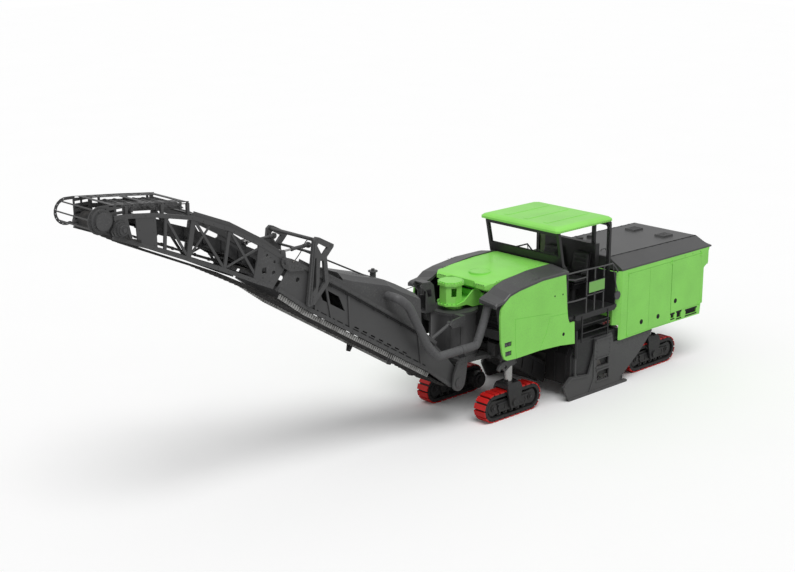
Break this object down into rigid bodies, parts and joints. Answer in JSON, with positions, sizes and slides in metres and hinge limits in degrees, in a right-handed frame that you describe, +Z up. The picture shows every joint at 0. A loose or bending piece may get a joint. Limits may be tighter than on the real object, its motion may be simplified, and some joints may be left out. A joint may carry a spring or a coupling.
{
  "type": "cold planer milling machine",
  "caption": "Self-propelled cold planer on crawler units that mills off road surfacing with a drum and loads it forward over a slewing, folding conveyor.",
  "frame": {"origin": "on the ground, under the middle of the overall length and width", "axes": "+X forward, towards the loading conveyor head; +Y to the machine left, the side with the door row seen in the picture; +Z up"},
  "size_m": [16.1647, 2.551, 5.8469],
  "materials": {
    "green_paint": "semi-gloss leaf green paint",
    "grey_paint": "satin dark grey paint",
    "black_paint": "satin near-black paint",
    "chrome_steel": "polished hard chrome",
    "tool_steel": "worn steel",
    "belt_rubber": "matt black rubber",
    "red_pads": "moulded red polyurethane",
    "engine_iron": "plain casting",
    "black_plastic": "matt black plastic",
    "clear_glass": "clear laminated glass",
    "lamp_lens": "dark lamp with a clear lens"
  },
  "bodies": {
    "chassis": {"main_frame": "grey_paint", "tow_hooks": "grey_paint", "engine_block": "engine_iron", "rear_shell": "green_paint", "rear_grille": "black_paint", "front_panels": "green_paint", "lamps": "lamp_lens", "shoulder_covers": "grey_paint", "tank_body": "black_paint", "centre_hood": "green_paint", "nose": "green_paint", "platform": "black_paint", "guard_rails": "grey_paint", "operator_station": "black_plastic", "seats": "black_plastic", "canopy_frame": "black_paint", "canopy_roof": "green_paint", "windscreen": "clear_glass", "drum_housing": "black_paint", "primary_conveyor": "black_paint", "primary_belt": "belt_rubber", "duct_rear": "belt_rubber"},
    "hood": {"rear_hood": "grey_paint"},
    "milling_rotor": {"milling_drum": "tool_steel", "drum_picks": "tool_steel"},
    "left_edge_plate": {"side_plate_left": "grey_paint"},
    "right_edge_plate": {"side_plate_right": "grey_paint"},
    "slew_frame": {"slew_column": "grey_paint", "duct_front": "belt_rubber"},
    "inner_conveyor": {"inner_boom": "grey_paint", "inner_belt": "belt_rubber", "portal": "grey_paint", "hopper": "grey_paint"},
    "outer_conveyor": {"outer_boom": "grey_paint", "outer_belt": "belt_rubber", "head_drum": "black_paint", "head_guard": "grey_paint"},
    "lift_barrel": {"lift_barrels": "grey_paint"},
    "lift_rod": {"lift_rods": "chrome_steel"},
    "fold_barrel": {"fold_barrels": "grey_paint"},
    "fold_rod": {"fold_rods": "chrome_steel"},
    "crawler_fl": {"column_fl": "chrome_steel", "yoke_fl": "grey_paint", "track_fl": "red_pads"},
    "crawler_fr": {"column_fr": "chrome_steel", "yoke_fr": "grey_paint", "track_fr": "red_pads"},
    "crawler_rl": {"column_rl": "chrome_steel", "yoke_rl": "grey_paint", "track_rl": "red_pads"},
    "crawler_rr": {"column_rr": "chrome_steel", "yoke_rr": "grey_paint", "track_rr": "red_pads"},
    "door_la_leaf": {"door_la": "green_paint"},
    "door_lb_leaf": {"door_lb": "green_paint"},
    "door_lc_leaf": {"door_lc": "green_paint"},
    "door_ra_leaf": {"door_ra": "green_paint"},
    "door_rb_leaf": {"door_rb": "green_paint"},
    "door_rc_leaf": {"door_rc": "green_paint"}
  },
  "joints": [
    {"name": "steer_fl", "type": "hinge", "parent": "chassis", "child": "crawler_fl", "pos_m": [-1.67, 0.835, 0], "axis": [0, 0, 1], "range_deg": [-30, 30]},
    {"name": "steer_fr", "type": "hinge", "parent": "chassis", "child": "crawler_fr", "pos_m": [-1.67, -0.835, 0], "axis": [0, 0, 1], "range_deg": [-30, 30]},
    {"name": "steer_rl", "type": "hinge", "parent": "chassis", "child": "crawler_rl", "pos_m": [-6.4, 0.835, 0], "axis": [0, 0, 1], "range_deg": [-15, 15]},
    {"name": "steer_rr", "type": "hinge", "parent": "chassis", "child": "crawler_rr", "pos_m": [-6.4, -0.835, 0], "axis": [0, 0, 1], "range_deg": [-15, 15]},
    {"name": "drum_spin", "type": "hinge", "parent": "chassis", "child": "milling_rotor", "pos_m": [-4.17, 0, 0.545], "axis": [0, 1, 0], "continuous": true},
    {"name": "left_plate_lift", "type": "slide", "parent": "chassis", "child": "left_edge_plate", "axis": [0, 0, 1], "range_m": [0, 0.35]},
    {"name": "right_plate_lift", "type": "slide", "parent": "chassis", "child": "right_edge_plate", "axis": [0, 0, 1], "range_m": [0, 0.35]},
    {"name": "hood_lift", "type": "hinge", "parent": "chassis", "child": "hood", "pos_m": [-8.095, 0, 2.585], "axis": [0, -1, 0], "range_deg": [0, 50]},
    {"name": "door_la_swing", "type": "hinge", "parent": "chassis", "child": "door_la_leaf", "pos_m": [-5.065, 1.268, 1.8], "axis": [0, 0, -1], "range_deg": [0, 105]},
    {"name": "door_lb_swing", "type": "hinge", "parent": "chassis", "child": "door_lb_leaf", "pos_m": [-6.642, 1.268, 1.8], "axis": [0, 0, 1], "range_deg": [0, 105]},
    {"name": "door_lc_swing", "type": "hinge", "parent": "chassis", "child": "door_lc_leaf", "pos_m": [-7.76, 1.268, 1.8], "axis": [0, 0, 1], "range_deg": [0, 105]},
    {"name": "door_ra_swing", "type": "hinge", "parent": "chassis", "child": "door_ra_leaf", "pos_m": [-5.065, -1.268, 1.8], "axis": [0, 0, 1], "range_deg": [0, 105]},
    {"name": "door_rb_swing", "type": "hinge", "parent": "chassis", "child": "door_rb_leaf", "pos_m": [-6.642, -1.268, 1.8], "axis": [0, 0, -1], "range_deg": [0, 105]},
    {"name": "door_rc_swing", "type": "hinge", "parent": "chassis", "child": "door_rc_leaf", "pos_m": [-7.76, -1.268, 1.8], "axis": [0, 0, -1], "range_deg": [0, 105]},
    {"name": "conveyor_slew", "type": "hinge", "parent": "chassis", "child": "slew_frame", "pos_m": [-0.89, 0, 2.33], "axis": [0, 0, 1], "range_deg": [-60, 60], "deforming": ["duct_rear"]},
    {"name": "conveyor_lift", "type": "hinge", "parent": "slew_frame", "child": "inner_conveyor", "pos_m": [-0.35, 0, 0.98], "axis": [0, -1, 0], "range_deg": [-25, 6], "deforming": ["duct_front"]},
    {"name": "conveyor_fold", "type": "hinge", "parent": "inner_conveyor", "child": "outer_conveyor", "pos_m": [4.09, 0, 4.29], "axis": [0, -1, 0], "range_deg": [0, 95]},
    {"name": "lift_barrel_swing", "type": "hinge", "parent": "slew_frame", "child": "lift_barrel", "pos_m": [-0.27, 0, 2.2], "axis": [0, -1, 0], "range_deg": [-15.68, 4.2]},
    {"name": "lift_rod_stroke", "type": "slide", "parent": "lift_barrel", "child": "lift_rod", "axis": [-0.9267, 0, 0.3757], "range_m": [-0.4766, 0.1229]},
    {"name": "fold_barrel_swing", "type": "hinge", "parent": "inner_conveyor", "child": "fold_barrel", "pos_m": [3.43, 0, 4.47], "axis": [0, 1, 0], "range_deg": [0, 19.44]},
    {"name": "fold_rod_stroke", "type": "slide", "parent": "fold_barrel", "child": "fold_rod", "axis": [-0.9995, 0, 0.0303], "range_m": [0, 0.1234]}
  ]
}
